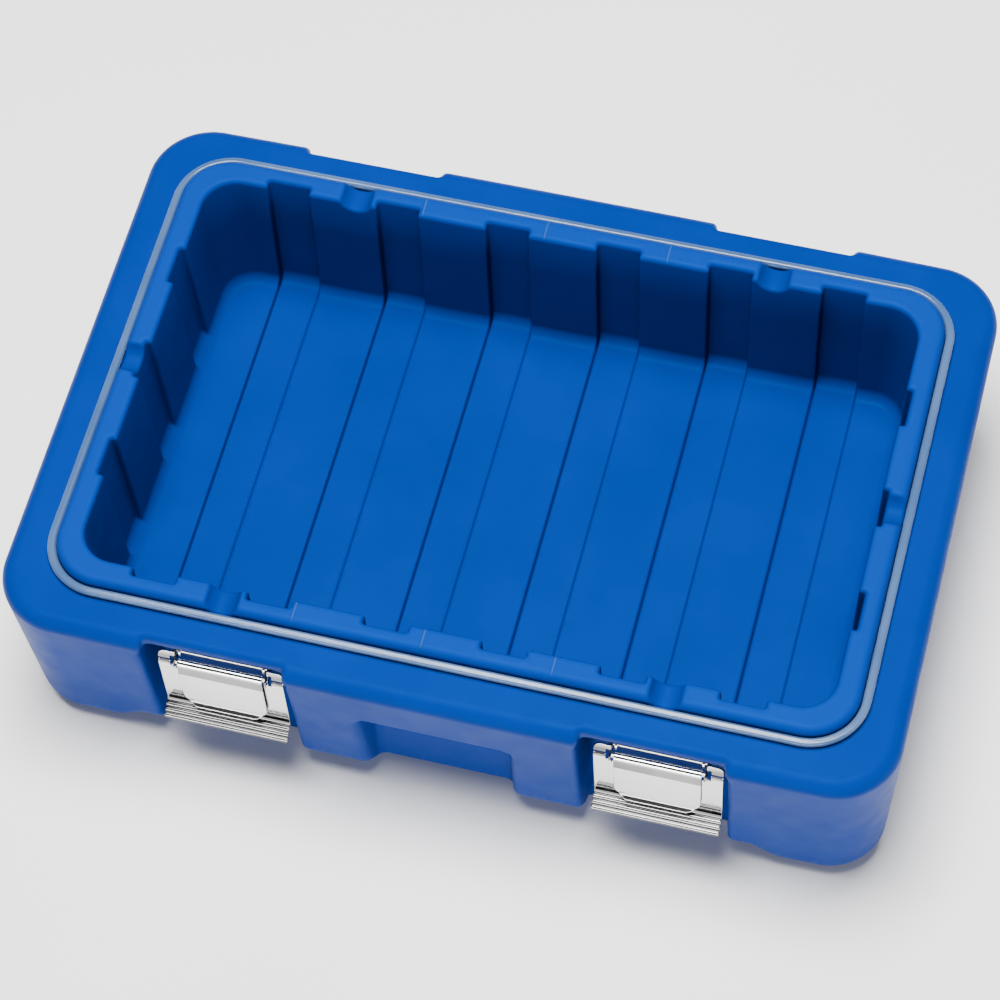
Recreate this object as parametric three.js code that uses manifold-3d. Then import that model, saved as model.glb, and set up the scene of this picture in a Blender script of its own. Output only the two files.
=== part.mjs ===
// Base of a top-loading insulated food pan carrier, without its lid: a hollow moulded body filled
// with foam, a silicone gasket around the raised lip, and four stainless draw latches that hang
// in recesses under the flange. Millimetres, +Z up, -Y is the front. The origin is at the middle
// of the footprint, on the surface that the feet stand on.

import * as THREE from 'three';
import { mergeVertices } from 'three/addons/utils/BufferGeometryUtils.js';
import Module from 'manifold-3d';

const wasm = await Module();
wasm.setup();

// ---------------------------------------------------------------- driving dimensions

// Outside of the body. The walls lean in from the flange down to the feet.
const LENGTH = 673;
const WIDTH = 457;
const FLANGE_Z = 170;
const CORNER_RADIUS = 50;
const CORNER_RADIUS_LOSS = 8;
const FLANGE_ROUND = 12;
const FOOT_ROUND = 24;
const END_LEAN = 8;
const SIDE_LEAN = 13.5;

// Skin of the moulding, and the gap that the foam keeps to it.
const SKIN = 4;
const FIT_GAP = 0.3;

// Pads under the four corners, and the height of the underside between them.
const PAD_HEIGHT = 15;
const PAD_START_X = 257;
const PAD_START_Y = 140;

// Tub, at its floor and at the top of the lip.
const FLOOR_Z = 57;
const LIP_Z = 182.5;
const TUB_FLOOR_X = 276.3;
const TUB_FLOOR_Y = 167.3;
const TUB_TOP_X = 280.7;
const TUB_TOP_Y = 172;
const TUB_RADIUS = 26;
const TUB_FILLET = 8;

// Lip that stands up from the flange around the tub.
const LIP_HALF_X = 299.9;
const LIP_HALF_Y = 191.8;
const LIP_RADIUS = 38;
const LIP_ROUND = 3;

// Channels down the tub walls. The long walls' channels run on across the floor.
const LONG_CHANNELS = 6;
const LONG_CHANNEL_PITCH = 87.6;
const LONG_CHANNEL_WIDTH = 33;
const LONG_CHANNEL_DEPTH = 7;
const FLOOR_GROOVE_DEPTH = 2;
const SHORT_CHANNELS = 3;
const SHORT_CHANNEL_PITCH = 87.5;
const SHORT_CHANNEL_WIDTH = 31;
const SHORT_CHANNEL_DEPTH = 5;

// Round-bottomed troughs across the lip.
const TROUGH_RADIUS = 12.5;
const TROUGH_DEPTH = 9.5;
const TROUGH_X = 164.6;

// Recesses in the long walls, open at the bottom. The latches hang to the right of their middles.
const LATCH_X = 163.5;
const LATCH_SHIFT = 4.2;
const LATCH_RECESS_HALF = 53.5;
const LATCH_RECESS_TOP = 157;
const LATCH_RECESS_PLANE = 188;
const LATCH_BACKING = 6;
const RIM_NOTCH_PLANE = 220.5;
const HAND_RECESS_HALF = 51;
const HAND_RECESS_TOP = 108;
const HAND_RECESS_PLANE = 202;
const RECESS_OUTSIDE = 245;
const RECESS_CORNER = 10;
const LATCH_RECESS_FLARE = 3;
const HAND_RECESS_FLARE = 14;

// Foam filling holes in the underside, and their plugs.
const PLUG_X = 110;
const PLUG_HOLE_RADIUS = 14;
const PLUG_HEAD_RADIUS = 19;
const PLUG_HEAD_THICKNESS = 2.5;
const PLUG_SHANK_LENGTH = 12;
const PLUG_WALL = 2.5;
const PLUG_PROUD = 1;
const PLUG_CHAMFER = 1;
const PLUG_TAPER = 0.5;
const PLUG_SIDES = 24;
const POCKET_GAP = 2;

// Gasket bead.
const GASKET_HALF_X = 303.7;
const GASKET_HALF_Y = 195.6;
const GASKET_CORNER = 41.8;
const GASKET_RADIUS = 3.25;

// Latch, seen in its own frame: x along the body, y as in the front wall, z up.
const SHEET = 1.5;
const HANDLE_HALF = 47.7;
const HANDLE_TOP = { y: -218.5, z: 150 };
const HANDLE_BEND = { y: -222.5, z: 139 };
const LIP_START_Z = 83;
const GRIP_ANGLE = 50;
const GRIP_COVE = 5;
const GRIP_RIDGES = 3;
const GRIP_RIDGE_PITCH = 4.4;
const GRIP_RIDGE_HEIGHT = 1.3;
const GRIP_RIDGE_STEPS = 6;
const NOTCH_HALF = 35;
const NOTCH_BOTTOM = 134;
const HINGE = { y: -213.5, z: 146, radius: 2 };
const PIVOT = { y: -221.5, z: 142, radius: 1.5 };
const EAR_SHEET = 1.5;
const EAR_REACH = 4;
const PIN_GAP = 0.3;
const PIN_HEAD = { thickness: 1.2, rim: 1 };
const BRACKET_HALF = 33;
const BRACKET_SHEET = 2;
const BRACKET_BOTTOM = 108;
const BRACKET_TOP = 150;
const BRACKET_EAR = { reach: 4.4, rise: 6, drop: 1.6 };
const HOOK_HALF = 32.2;
const HOOK_SHEET = 1.2;
const HOOK_CURL = 3.1;
const HOOK_BEND = { y: -225.5, z: 131 };
const HOOK_BOTTOM = 86;
const HOOK_CORNER = 13;
const HOOK_CLAW = 2.6;
const RIVET_RADIUS = 2.4;
const RIVET_HEAD_RADIUS = 4.5;
const RIVET_HEAD_HEIGHT = 1.6;
const RIVET_LENGTH = 9;
const RIVET_SHOULDER = { radius: 0.75, height: 0.7 };
const RIVET_OFFSET_X = 20;
const RIVET_OFFSET_Z = 13;

// How finely round edges are cut.
const ARC_STEPS = 6;
const EDGE_STEPS = 4;
const ROUND_SIDES = 20;

// How far a cutting tool reaches past the faces that it cuts.
const MARGIN = 5;

// ---------------------------------------------------------------- materials

const polyethylene = new THREE.MeshStandardMaterial({ color: 0x0a5fc0, roughness: 0.42, metalness: 0 });
const foamMaterial = new THREE.MeshStandardMaterial({ color: 0xe6dcc0, roughness: 0.9, metalness: 0 });
const silicone = new THREE.MeshStandardMaterial({ color: 0xdfe6ee, roughness: 0.3, metalness: 0 });
const plugMaterial = new THREE.MeshStandardMaterial({ color: 0x17171a, roughness: 0.5, metalness: 0 });
const steel = new THREE.MeshStandardMaterial({ color: 0xd4d4d2, roughness: 0.14, metalness: 1 });

// ---------------------------------------------------------------- shape helpers

// Counter-clockwise outline of a rectangle with round corners.
function outline(halfX, halfY, radius, steps = ARC_STEPS) {
  const points = [];
  for (let corner = 0; corner < 4; corner += 1) {
    const signX = corner === 0 || corner === 3 ? 1 : -1;
    const signY = corner < 2 ? 1 : -1;
    for (let step = 0; step <= steps; step += 1) {
      const angle = (corner + step / steps) * Math.PI / 2;
      const x = signX * (halfX - radius) + radius * Math.cos(angle);
      const y = signY * (halfY - radius) + radius * Math.sin(angle);
      points.push(new THREE.Vector2(x, y));
    }
  }
  return points;
}

// Closed form through outlines of equal point count, from the lowest level to the highest.
function stack(levels) {
  const size = levels[0].points.length;
  const vertices = [];
  for (const { z, points } of levels) {
    points.forEach((point) => vertices.push(point.x, point.y, z));
  }
  const faces = [];
  for (let level = 0; level < levels.length - 1; level += 1) {
    for (let i = 0; i < size; i += 1) {
      const a = level * size + i;
      const b = level * size + (i + 1) % size;
      faces.push(a, b, b + size, a, b + size, a + size);
    }
  }
  const top = (levels.length - 1) * size;
  for (const [a, b, c] of THREE.ShapeUtils.triangulateShape(levels[0].points, [])) {
    faces.push(c, b, a);
  }
  for (const [a, b, c] of THREE.ShapeUtils.triangulateShape(levels.at(-1).points, [])) {
    faces.push(top + a, top + b, top + c);
  }
  const geometry = new THREE.BufferGeometry();
  geometry.setAttribute('position', new THREE.Float32BufferAttribute(vertices, 3));
  geometry.setIndex(faces);
  return geometry;
}

// A three.js geometry as a solid that can be joined and cut.
function solid(geometry) {
  const bare = geometry.clone();
  bare.deleteAttribute('normal');
  bare.deleteAttribute('uv');
  const merged = mergeVertices(bare, 1e-4);
  const vertProperties = new Float32Array(merged.attributes.position.array);
  const triVerts = new Uint32Array(merged.index.array);
  return new wasm.Manifold(new wasm.Mesh({ numProp: 3, vertProperties, triVerts }));
}

function geometryOf(manifold) {
  const { vertProperties, triVerts } = manifold.getMesh();
  const geometry = new THREE.BufferGeometry();
  geometry.setAttribute('position', new THREE.BufferAttribute(vertProperties, 3));
  geometry.setIndex(new THREE.BufferAttribute(triVerts, 1));
  geometry.computeVertexNormals();
  return geometry;
}

function joined(pieces) {
  return pieces.reduce((whole, piece) => whole.add(piece));
}

function cut(whole, tools) {
  return tools.reduce((left, tool) => left.subtract(tool), whole);
}

function block([x0, x1], [y0, y1], [z0, z1]) {
  const geometry = new THREE.BoxGeometry(x1 - x0, y1 - y0, z1 - z0);
  return solid(geometry.translate((x0 + x1) / 2, (y0 + y1) / 2, (z0 + z1) / 2));
}

// Prism along X from x0 to x1 over a counter-clockwise outline given as [y, z] pairs.
function alongX(pairs, x0, x1) {
  const shape = new THREE.Shape(pairs.map(([y, z]) => new THREE.Vector2(y, z)));
  const geometry = new THREE.ExtrudeGeometry(shape, { depth: x1 - x0, bevelEnabled: false });
  const turn = new THREE.Matrix4().set(0, 0, 1, x0, 1, 0, 0, 0, 0, 1, 0, 0, 0, 0, 0, 1);
  return solid(geometry.applyMatrix4(turn));
}

// Prism along Y from y0 to y1 over a counter-clockwise outline given as [x, z] pairs.
function alongY(pairs, y0, y1) {
  const shape = new THREE.Shape(pairs.map(([x, z]) => new THREE.Vector2(x, z)));
  const geometry = new THREE.ExtrudeGeometry(shape, { depth: y1 - y0, bevelEnabled: false });
  return solid(geometry.rotateX(Math.PI / 2).translate(0, y1, 0));
}

// Round bar along X between x0 and x1.
function barX(radius, y, z, x0, x1) {
  const geometry = new THREE.CylinderGeometry(radius, radius, x1 - x0, ROUND_SIDES);
  return solid(geometry.rotateZ(Math.PI / 2).translate((x0 + x1) / 2, y, z));
}

// Round bar along Y between y0 and y1.
function barY(radius, x, z, y0, y1) {
  const geometry = new THREE.CylinderGeometry(radius, radius, y1 - y0, ROUND_SIDES);
  return solid(geometry.translate(x, (y0 + y1) / 2, z));
}

function mirroredPlaces(value) {
  return [-value, value];
}

function spread(count, pitch) {
  return Array.from({ length: count }, (_, i) => (i - (count - 1) / 2) * pitch);
}

// ---------------------------------------------------------------- body

// Outline of the outer walls at height z, moved in by inset.
function wallOutline(z, inset) {
  const lean = (FLANGE_Z - z) / FLANGE_Z;
  const halfX = LENGTH / 2 - END_LEAN * lean - inset;
  const halfY = WIDTH / 2 - SIDE_LEAN * lean - inset;
  return outline(halfX, halfY, CORNER_RADIUS - CORNER_RADIUS_LOSS * lean - inset);
}

// Walls and flange as one form with its rounded underside at height base, offset inwards by skin.
function wallForm(skin, base) {
  const levels = [];
  const footRound = FOOT_ROUND - skin;
  const flangeRound = FLANGE_ROUND - skin;
  for (let step = 0; step <= EDGE_STEPS; step += 1) {
    const angle = step / EDGE_STEPS * Math.PI / 2;
    const z = base + skin + footRound * (1 - Math.cos(angle));
    levels.push({ z, points: wallOutline(z, skin + footRound * (1 - Math.sin(angle))) });
  }
  for (let step = 0; step <= EDGE_STEPS; step += 1) {
    const angle = step / EDGE_STEPS * Math.PI / 2;
    const z = FLANGE_Z - skin - flangeRound * (1 - Math.sin(angle));
    levels.push({ z, points: wallOutline(z, skin + flangeRound * (1 - Math.cos(angle))) });
  }
  return solid(stack(levels));
}

// Outer form of the body up to the flange, with a pad under each corner, offset inwards by skin.
function outerForm(skin) {
  const deep = wallForm(skin, 0);
  const height = [-1, PAD_HEIGHT + FOOT_ROUND];
  const pads = mirroredPlaces(1).flatMap((sideX) => mirroredPlaces(1).map((sideY) => {
    const across = [sideX * (PAD_START_X + skin), sideX * LENGTH].sort((a, b) => a - b);
    const along = [sideY * (PAD_START_Y + skin), sideY * WIDTH].sort((a, b) => a - b);
    return deep.intersect(block(across, along, height));
  }));
  return joined([wallForm(skin, PAD_HEIGHT), ...pads]);
}

function lipForm() {
  return solid(stack([
    { z: FLANGE_Z - SKIN, points: outline(LIP_HALF_X, LIP_HALF_Y, LIP_RADIUS) },
    { z: LIP_Z - LIP_ROUND, points: outline(LIP_HALF_X, LIP_HALF_Y, LIP_RADIUS) },
    { z: LIP_Z, points: outline(LIP_HALF_X - LIP_ROUND, LIP_HALF_Y - LIP_ROUND, LIP_RADIUS - LIP_ROUND) },
  ]));
}

// Space inside the tub, grown sideways by grow and down by deeper.
function tubForm(grow, deeper) {
  const floor = FLOOR_Z - deeper;
  const lowX = TUB_FLOOR_X + grow;
  const lowY = TUB_FLOOR_Y + grow;
  const highX = TUB_TOP_X + grow;
  const highY = TUB_TOP_Y + grow;
  return solid(stack([
    { z: floor, points: outline(lowX - TUB_FILLET, lowY - TUB_FILLET, TUB_RADIUS - TUB_FILLET) },
    { z: floor + TUB_FILLET, points: outline(lowX, lowY, TUB_RADIUS) },
    { z: LIP_Z - LIP_ROUND, points: outline(highX, highY, TUB_RADIUS) },
    { z: LIP_Z, points: outline(highX + LIP_ROUND, highY + LIP_ROUND, TUB_RADIUS + LIP_ROUND) },
    { z: LIP_Z + LIP_ROUND, points: outline(highX + LIP_ROUND, highY + LIP_ROUND, TUB_RADIUS + LIP_ROUND) },
  ]));
}

// Cross-section of the tub where a channel runs, as a closed outline.
function channelSection(lowHalf, highHalf, floor) {
  const right = [[lowHalf - TUB_FILLET, floor], [lowHalf, floor + TUB_FILLET], [highHalf, LIP_Z + LIP_ROUND]];
  const left = right.map(([across, z]) => [-across, z]).reverse();
  return [...right, ...left];
}

function channelTools() {
  const long = channelSection(
    TUB_FLOOR_Y + LONG_CHANNEL_DEPTH, TUB_TOP_Y + LONG_CHANNEL_DEPTH, FLOOR_Z - FLOOR_GROOVE_DEPTH);
  const short = channelSection(
    TUB_FLOOR_X + SHORT_CHANNEL_DEPTH, TUB_TOP_X + SHORT_CHANNEL_DEPTH, FLOOR_Z);
  const halfLong = LONG_CHANNEL_WIDTH / 2;
  const halfShort = SHORT_CHANNEL_WIDTH / 2;
  return [
    ...spread(LONG_CHANNELS, LONG_CHANNEL_PITCH).map((x) => alongX(long, x - halfLong, x + halfLong)),
    ...spread(SHORT_CHANNELS, SHORT_CHANNEL_PITCH).map((y) => alongY(short, y - halfShort, y + halfShort)),
  ];
}

function troughTools() {
  const z = LIP_Z - TROUGH_DEPTH + TROUGH_RADIUS;
  const tools = [];
  for (const side of [-1, 1]) {
    const [nearY, farY] = [TUB_TOP_Y - MARGIN, LIP_HALF_Y + MARGIN].map((y) => side * y).sort((a, b) => a - b);
    mirroredPlaces(TROUGH_X).forEach((x) => tools.push(barY(TROUGH_RADIUS, x, z, nearY, farY)));
    const [nearX, farX] = [TUB_TOP_X - MARGIN, LIP_HALF_X + MARGIN].map((x) => side * x).sort((a, b) => a - b);
    tools.push(barX(TROUGH_RADIUS, 0, z, nearX, farX));
  }
  return tools;
}

// Cutter for a recess in a long wall: its back plane is at plane, its sides and top flare outwards.
function recessTool(x, side, { half, top, plane, flare }, grow) {
  const below = -RECESS_CORNER * 2;
  const level = (distance, spreadOut) => {
    const height = (top + spreadOut - below) / 2;
    const points = outline(half + spreadOut, height, RECESS_CORNER);
    points.forEach((point) => point.set(point.x + x, point.y + below + height));
    return { z: distance, points };
  };
  const geometry = stack([level(plane - grow, grow), level(RECESS_OUTSIDE, grow + flare)]);
  geometry.rotateX(Math.PI / 2);
  if (side > 0) {
    geometry.translate(-2 * x, 0, 0).rotateZ(Math.PI);
  }
  return solid(geometry);
}

const latchRecess = {
  half: LATCH_RECESS_HALF,
  top: LATCH_RECESS_TOP,
  plane: LATCH_RECESS_PLANE,
  flare: LATCH_RECESS_FLARE,
};
const handRecess = {
  half: HAND_RECESS_HALF,
  top: HAND_RECESS_TOP,
  plane: HAND_RECESS_PLANE,
  flare: HAND_RECESS_FLARE,
};

// All the recesses that are cut into the long walls, each grown by grow. The moulding is solid for
// a further backing behind a latch recess, where its rivets hold.
function outsideTools(grow, backing) {
  const tools = [];
  const backed = { ...latchRecess, plane: LATCH_RECESS_PLANE - backing };
  for (const side of [-1, 1]) {
    mirroredPlaces(LATCH_X).forEach((x) => tools.push(recessTool(x, side, backed, grow)));
    tools.push(recessTool(0, side, handRecess, grow));
  }
  return tools;
}

function rimNotchTools() {
  const tools = [];
  for (const x of mirroredPlaces(LATCH_X)) {
    const across = [x - LATCH_RECESS_HALF, x + LATCH_RECESS_HALF];
    const height = [LATCH_RECESS_TOP - RECESS_CORNER, FLANGE_Z + 1];
    tools.push(block(across, [-RECESS_OUTSIDE, -RIM_NOTCH_PLANE], height));
    tools.push(block(across, [RIM_NOTCH_PLANE, RECESS_OUTSIDE], height));
  }
  return tools;
}

// Space between the outer and the inner skin, which the foam fills.
function foamSpace(gap) {
  const skin = SKIN + gap;
  const tub = tubForm(LONG_CHANNEL_DEPTH + skin, FLOOR_GROOVE_DEPTH + skin);
  return cut(outerForm(skin), [tub, ...outsideTools(skin + FLOOR_GROOVE_DEPTH, LATCH_BACKING)]);
}

function plugHoleTool(x) {
  const through = new THREE.CylinderGeometry(PLUG_HOLE_RADIUS, PLUG_HOLE_RADIUS, SKIN * 3, ROUND_SIDES);
  const seatRadius = PLUG_HEAD_RADIUS + FIT_GAP;
  const seatDepth = PLUG_HEAD_THICKNESS - PLUG_PROUD;
  const seat = new THREE.CylinderGeometry(seatRadius, seatRadius, seatDepth * 2, ROUND_SIDES);
  const place = (geometry) => solid(geometry.rotateX(Math.PI / 2).translate(x, 0, PAD_HEIGHT));
  return place(through).add(place(seat));
}

function rivetPlaces() {
  const places = [];
  for (const dx of mirroredPlaces(RIVET_OFFSET_X)) {
    for (const dz of mirroredPlaces(RIVET_OFFSET_Z)) {
      places.push({ x: dx, z: (BRACKET_BOTTOM + BRACKET_TOP) / 2 + dz });
    }
  }
  return places;
}

function rivetHoleTools() {
  const tools = [];
  const deep = LATCH_RECESS_PLANE - RIVET_LENGTH;
  for (const latchX of mirroredPlaces(LATCH_X)) {
    for (const { x, z } of rivetPlaces()) {
      const across = latchX + LATCH_SHIFT + x;
      tools.push(barY(RIVET_RADIUS + PIN_GAP, across, z, -LATCH_RECESS_PLANE - 1, -deep));
      tools.push(barY(RIVET_RADIUS + PIN_GAP, across, z, deep, LATCH_RECESS_PLANE + 1));
    }
  }
  return tools;
}

function bodyShell() {
  const raised = outerForm(0).add(lipForm());
  return cut(raised, [
    tubForm(0, 0),
    ...channelTools(),
    ...troughTools(),
    ...outsideTools(0, 0),
    ...rimNotchTools(),
    foamSpace(0),
    ...mirroredPlaces(PLUG_X).map(plugHoleTool),
    ...rivetHoleTools(),
  ]);
}

function foamCore() {
  const pocket = PLUG_SHANK_LENGTH - SKIN + POCKET_GAP;
  const pockets = mirroredPlaces(PLUG_X).map((x) => {
    const geometry = new THREE.CylinderGeometry(PLUG_HOLE_RADIUS, PLUG_HOLE_RADIUS, pocket * 2, ROUND_SIDES);
    return solid(geometry.rotateX(Math.PI / 2).translate(x, 0, PAD_HEIGHT + SKIN));
  });
  return cut(foamSpace(FIT_GAP), pockets);
}

// Plug with a thin head that covers the hole and a hollow shank that grips it, axis up.
function foamPlug() {
  const shank = PLUG_HOLE_RADIUS - FIT_GAP;
  const headTop = PLUG_HEAD_THICKNESS;
  const profile = [
    [0, 0],
    [PLUG_HEAD_RADIUS - PLUG_CHAMFER, 0],
    [PLUG_HEAD_RADIUS, PLUG_CHAMFER],
    [PLUG_HEAD_RADIUS, headTop],
    [shank, headTop],
    [shank - PLUG_TAPER, headTop + PLUG_SHANK_LENGTH],
    [shank - PLUG_WALL, headTop + PLUG_SHANK_LENGTH],
    [shank - PLUG_WALL, headTop],
    [0, headTop],
  ].map(([radius, z]) => new THREE.Vector2(radius, z));
  return new THREE.LatheGeometry(profile, PLUG_SIDES).rotateX(Math.PI / 2);
}

// Round bead that follows the lip, as an outer form with its middle cut out.
function gasketBead() {
  const centre = FLANGE_Z + FIT_GAP + GASKET_RADIUS;
  const flat = Math.PI / 12;
  const form = (sign) => {
    const levels = [];
    for (let step = 0; step <= EDGE_STEPS * 2; step += 1) {
      const angle = flat + step / (EDGE_STEPS * 2) * (Math.PI - 2 * flat);
      const out = sign * GASKET_RADIUS * Math.sin(angle);
      const points = outline(GASKET_HALF_X + out, GASKET_HALF_Y + out, GASKET_CORNER + out, ARC_STEPS * 2);
      levels.push({ z: centre - GASKET_RADIUS * Math.cos(angle), points });
    }
    return solid(stack(levels));
  };
  const reach = GASKET_RADIUS * Math.cos(flat);
  const inset = GASKET_RADIUS * Math.sin(flat);
  const points = outline(
    GASKET_HALF_X - inset, GASKET_HALF_Y - inset, GASKET_CORNER - inset, ARC_STEPS * 2);
  const cap = (low, high) => solid(stack([{ z: low, points }, { z: high, points }]));
  const caps = [cap(centre - reach - 1, centre - reach), cap(centre + reach, centre + reach + 1)];
  return cut(form(1), [form(-1), ...caps]);
}

// ---------------------------------------------------------------- latch

// Closed outline of a bent sheet: its front line, and the same line moved back by thickness.
function bentSheet(front, thickness) {
  const back = front.map(([y, z], i) => {
    const [y0, z0] = front[Math.max(i - 1, 0)];
    const [y1, z1] = front[Math.min(i + 1, front.length - 1)];
    const length = Math.hypot(y1 - y0, z1 - z0);
    return [y - (z1 - z0) / length * thickness, z + (y1 - y0) / length * thickness];
  });
  return [...front, ...back.reverse()];
}

// Front line of the handle from its top edge down: a leaning upper part, a flat, and the ribbed grip.
function handleLine() {
  const line = [[HANDLE_TOP.y, HANDLE_TOP.z], [HANDLE_BEND.y, HANDLE_BEND.z], [HANDLE_BEND.y, LIP_START_Z]];
  const turn = THREE.MathUtils.degToRad(GRIP_ANGLE);
  for (let step = 1; step <= EDGE_STEPS; step += 1) {
    const angle = turn * step / EDGE_STEPS;
    line.push([
      HANDLE_BEND.y - GRIP_COVE * (1 - Math.cos(angle)),
      LIP_START_Z - GRIP_COVE * Math.sin(angle),
    ]);
  }
  const [startY, startZ] = line.at(-1);
  for (let step = 1; step <= GRIP_RIDGES * GRIP_RIDGE_STEPS; step += 1) {
    const along = step / GRIP_RIDGE_STEPS * GRIP_RIDGE_PITCH;
    const raised = GRIP_RIDGE_HEIGHT * Math.abs(Math.sin(step / GRIP_RIDGE_STEPS * Math.PI));
    line.push([
      startY - along * Math.sin(turn) - raised * Math.cos(turn),
      startZ - along * Math.cos(turn) + raised * Math.sin(turn),
    ]);
  }
  return line;
}

// Round-nosed outline around two pin places, for the ears that carry the pins.
function earOutline(pins, reach, tail) {
  const points = [];
  for (const { y, z, from, to } of pins) {
    for (let step = 0; step <= EDGE_STEPS; step += 1) {
      const angle = THREE.MathUtils.degToRad(from + (to - from) * step / EDGE_STEPS);
      points.push([y + reach * Math.cos(angle), z + reach * Math.sin(angle)]);
    }
  }
  return [...points, ...tail];
}

function latchHandle() {
  const sheet = alongX(bentSheet(handleLine(), SHEET), -HANDLE_HALF, HANDLE_HALF);
  const notch = block(
    [-NOTCH_HALF, NOTCH_HALF],
    [HANDLE_BEND.y - MARGIN, HANDLE_TOP.y + MARGIN],
    [NOTCH_BOTTOM, HANDLE_TOP.z + MARGIN]);
  const ear = earOutline([
    { ...HINGE, from: -20, to: 90 },
    { ...PIVOT, from: 130, to: 250 },
  ], EAR_REACH, [[HANDLE_BEND.y - 0.5, NOTCH_BOTTOM - 1], [HANDLE_BEND.y + SHEET, NOTCH_BOTTOM - 1]]);
  const ears = [-1, 1].map((side) => {
    const inner = side * NOTCH_HALF;
    const [x0, x1] = [inner - EAR_SHEET / 2, inner + EAR_SHEET / 2];
    return alongX(ear, x0, x1);
  });
  const hole = NOTCH_HALF + EAR_SHEET / 2 + PIN_GAP;
  return cut(joined([cut(sheet, [notch]), ...ears]), [HINGE, PIVOT].map(({ y, z, radius }) => (
    barX(radius + PIN_GAP, y, z, -hole, hole)
  )));
}

// Pin that ends flush with the outer faces of the handle's ears.
function plainPin({ y, z, radius }) {
  const half = NOTCH_HALF + EAR_SHEET / 2;
  return barX(radius, y, z, -half, half);
}

// The same pin with a round head outside each ear.
function headedPin(place) {
  const near = NOTCH_HALF + EAR_SHEET / 2 + PIN_GAP / 2;
  const heads = [-1, 1].map((side) => {
    const [x0, x1] = [side * near, side * (near + PIN_HEAD.thickness)].sort((a, b) => a - b);
    return barX(place.radius + PIN_HEAD.rim, place.y, place.z, x0, x1);
  });
  const half = near + PIN_HEAD.thickness / 2;
  const shank = barX(place.radius, place.y, place.z, -half, half);
  return joined([shank, ...heads]);
}

function latchBracket() {
  const back = -LATCH_RECESS_PLANE - FIT_GAP;
  const front = back - BRACKET_SHEET;
  const [x0, x1] = [-BRACKET_HALF, BRACKET_HALF];
  const base = block([x0, x1], [front, back], [BRACKET_BOTTOM, BRACKET_TOP]);
  const ear = earOutline(
    [{ ...HINGE, from: 90, to: 290 }],
    BRACKET_EAR.reach,
    [[back, BRACKET_BOTTOM + BRACKET_EAR.rise], [back, BRACKET_TOP - BRACKET_EAR.drop]]);
  const ears = [alongX(ear, x0, x0 + BRACKET_SHEET), alongX(ear, x1 - BRACKET_SHEET, x1)];
  const holes = rivetPlaces().map(({ x, z }) => barY(RIVET_RADIUS + PIN_GAP, x, z, front - 1, back + 1));
  return cut(joined([base, ...ears]), [
    ...holes,
    barX(HINGE.radius + PIN_GAP, HINGE.y, HINGE.z, x0 - 1, x1 + 1),
  ]);
}

// Hook plate: a curl around its pin, a leaning band and a flat tongue with round lower corners.
function latchHook() {
  const line = [
    [PIVOT.y - HOOK_CURL, PIVOT.z],
    [HOOK_BEND.y, HOOK_BEND.z],
    [HOOK_BEND.y, HOOK_BOTTOM + HOOK_CLAW],
    [HOOK_BEND.y - HOOK_CLAW, HOOK_BOTTOM],
  ];
  const [x0, x1] = [-HOOK_HALF, HOOK_HALF];
  const sheet = alongX(bentSheet(line, HOOK_SHEET), x0, x1);
  const curl = barX(HOOK_CURL, PIVOT.y, PIVOT.z, x0, x1);
  const height = (PIVOT.z + HOOK_CURL + 1 - HOOK_BOTTOM) / 2;
  const face = outline(HOOK_HALF, height, HOOK_CORNER).map((point) => (
    [point.x, Math.max(point.y + HOOK_BOTTOM + height, HOOK_BOTTOM)]
  ));
  const depth = [-RECESS_OUTSIDE, -LATCH_RECESS_PLANE];
  const square = block([x0, x1], depth, [HOOK_BEND.z, PIVOT.z + HOOK_CURL + 1]);
  const trim = alongY(face, ...depth).add(square);
  return curl.add(sheet).intersect(trim).subtract(
    barX(PIVOT.radius + PIN_GAP, PIVOT.y, PIVOT.z, x0 - 1, x1 + 1));
}

// Blind rivet along Y with a domed head, its head towards the outside.
function rivet() {
  const profile = [
    [0, 0],
    [RIVET_RADIUS, 0],
    [RIVET_RADIUS, RIVET_LENGTH],
    [RIVET_HEAD_RADIUS, RIVET_LENGTH],
    [RIVET_HEAD_RADIUS * RIVET_SHOULDER.radius, RIVET_LENGTH + RIVET_HEAD_HEIGHT * RIVET_SHOULDER.height],
    [0, RIVET_LENGTH + RIVET_HEAD_HEIGHT],
  ].map(([radius, y]) => new THREE.Vector2(radius, y));
  return new THREE.LatheGeometry(profile, ROUND_SIDES / 2);
}

// ---------------------------------------------------------------- assembly

const carrier = new THREE.Group();

function addMesh(parent, name, geometry, material) {
  const mesh = new THREE.Mesh(geometry, material);
  mesh.name = name;
  parent.add(mesh);
  return mesh;
}

addMesh(carrier, 'body_shell', geometryOf(bodyShell()), polyethylene);
addMesh(carrier, 'foam_core', geometryOf(foamCore()), foamMaterial);
addMesh(carrier, 'lid_gasket', geometryOf(gasketBead()), silicone);
for (const [name, x] of [['left', -PLUG_X], ['right', PLUG_X]]) {
  const plug = addMesh(carrier, `foam_plug_${name}`, foamPlug(), plugMaterial);
  plug.position.set(x, 0, PAD_HEIGHT - PLUG_PROUD - FIT_GAP);
}

const handleGeometry = geometryOf(latchHandle());
const hookGeometry = geometryOf(latchHook());
const bracketGeometry = geometryOf(latchBracket());
const hingePinGeometry = geometryOf(headedPin(HINGE));
const hookPinGeometry = geometryOf(plainPin(PIVOT));
const rivetGeometry = rivet();

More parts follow.
